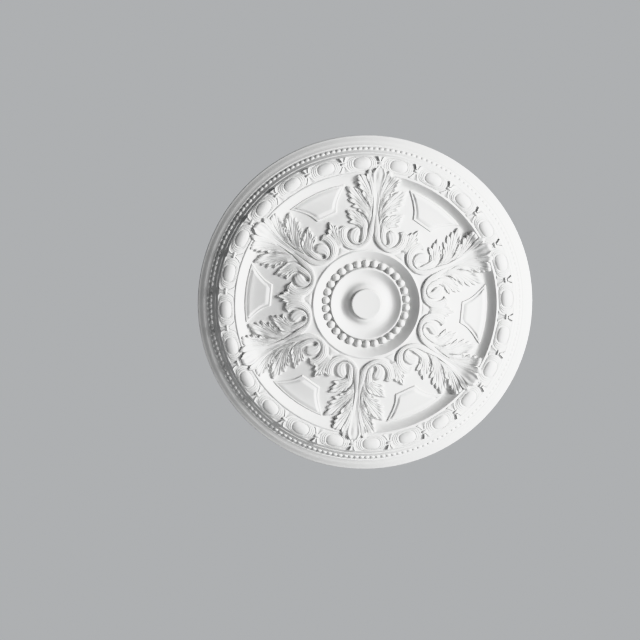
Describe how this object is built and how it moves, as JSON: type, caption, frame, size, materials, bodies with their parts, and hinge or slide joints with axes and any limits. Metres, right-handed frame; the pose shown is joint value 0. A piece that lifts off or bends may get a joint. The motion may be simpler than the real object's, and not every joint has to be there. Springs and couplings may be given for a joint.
{
  "type": "ceiling rose",
  "caption": "Round moulded ceiling rose with an egg and dart rim, a ring of acanthus leaves, a beaded dish and a plain centre disc, fixed flat against a ceiling.",
  "frame": {"origin": "centre of the flat back, which lies against the ceiling or wall", "axes": "+Y out of the back towards the surface it is fixed to, so the carved face looks along -Y; +Z along the middle line of one acanthus leaf; +X to the right as the face is seen"},
  "size_m": [0.7, 0.0467, 0.7],
  "materials": {
    "white_casting": "factory-primed matt white"
  },
  "bodies": {
    "root": {"ceiling_rose": "white_casting"}
  },
  "joints": []
}
